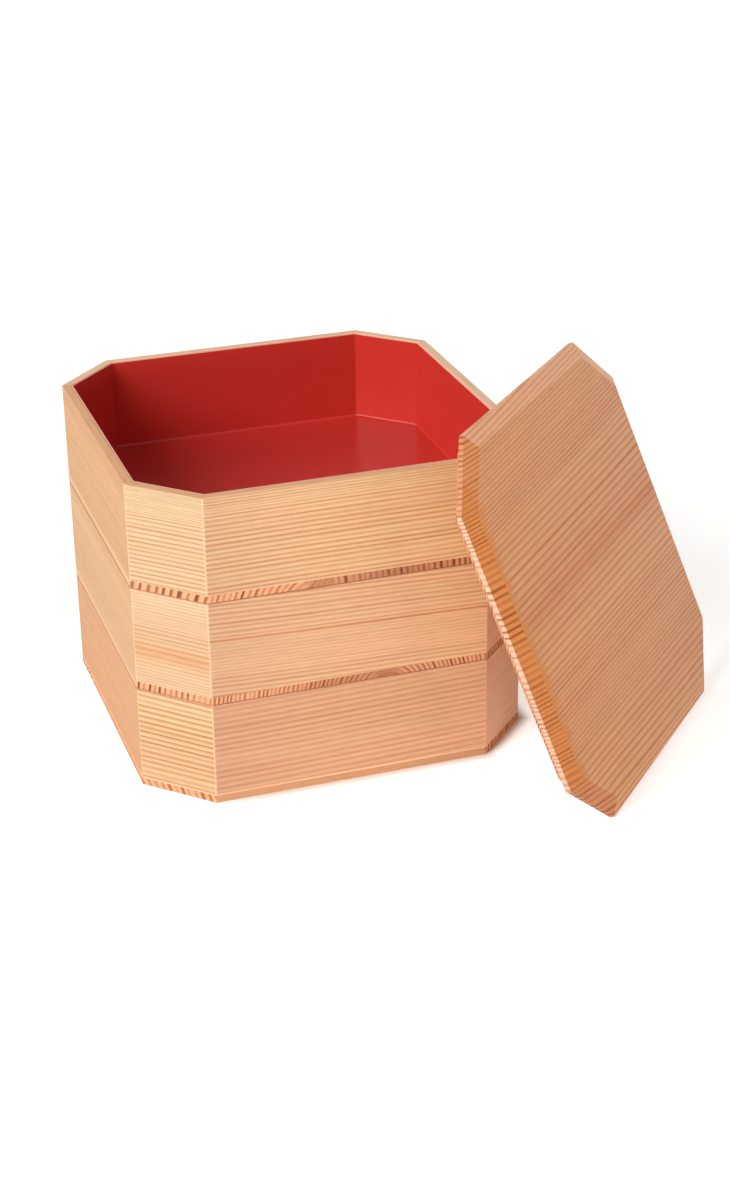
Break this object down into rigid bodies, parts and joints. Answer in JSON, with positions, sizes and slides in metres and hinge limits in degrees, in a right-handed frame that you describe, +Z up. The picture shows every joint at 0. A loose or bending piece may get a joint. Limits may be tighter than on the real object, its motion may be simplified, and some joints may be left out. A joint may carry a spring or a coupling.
{
  "type": "tiered bento box",
  "caption": "Square stacking lunch box with cut corners, mitred cedar walls, red lacquer inside and a bevelled lid leaning beside it.",
  "frame": {"origin": "centre of the underside of the bottom tier, on the surface the box stands on", "axes": "+Z up through the stack; -Y out of the front side; +X to the right, towards the side where the lid leans"},
  "size_m": [0.3077, 0.2843, 0.1797],
  "materials": {
    "cedar_side": "oiled straight-grained cedar, satin",
    "cedar_corner": "oiled straight-grained cedar, satin",
    "cedar_base": "cedar board with end grain at two edges, satin",
    "cedar_lid": "oiled straight-grained cedar, satin",
    "cedar_panel": "plain cedar, satin",
    "red_lacquer": "red lacquer, satin gloss"
  },
  "bodies": {
    "bottom_tier": {"bottom_front_board": "cedar_side", "bottom_right_board": "cedar_side", "bottom_back_board": "cedar_side", "bottom_left_board": "cedar_side", "bottom_front_right_corner": "cedar_corner", "bottom_back_right_corner": "cedar_corner", "bottom_back_left_corner": "cedar_corner", "bottom_front_left_corner": "cedar_corner", "bottom_base_board": "cedar_base", "bottom_lacquer_lining": "red_lacquer"},
    "middle_tier": {"middle_front_board": "cedar_side", "middle_right_board": "cedar_side", "middle_back_board": "cedar_side", "middle_left_board": "cedar_side", "middle_front_right_corner": "cedar_corner", "middle_back_right_corner": "cedar_corner", "middle_back_left_corner": "cedar_corner", "middle_front_left_corner": "cedar_corner", "middle_base_board": "cedar_base", "middle_lacquer_lining": "red_lacquer", "middle_register_panel": "cedar_panel"},
    "top_tier": {"top_front_board": "cedar_side", "top_right_board": "cedar_side", "top_back_board": "cedar_side", "top_left_board": "cedar_side", "top_front_right_corner": "cedar_corner", "top_back_right_corner": "cedar_corner", "top_back_left_corner": "cedar_corner", "top_front_left_corner": "cedar_corner", "top_base_board": "cedar_base", "top_lacquer_lining": "red_lacquer", "top_register_panel": "cedar_panel"},
    "lid": {"lid_board": "cedar_lid", "lid_register_panel": "cedar_panel"}
  },
  "joints": [
    {"name": "middle_tier_lift", "type": "slide", "parent": "bottom_tier", "child": "middle_tier", "axis": [0, 0, 1], "range_m": [0, 0.1]},
    {"name": "top_tier_lift", "type": "slide", "parent": "middle_tier", "child": "top_tier", "axis": [0, 0, 1], "range_m": [0, 0.1]},
    {"name": "lid_slide_off", "type": "slide", "parent": "top_tier", "child": "lid", "axis": [-0.287, 0.2791, 0.9164], "range_m": [0, 0.18]}
  ]
}
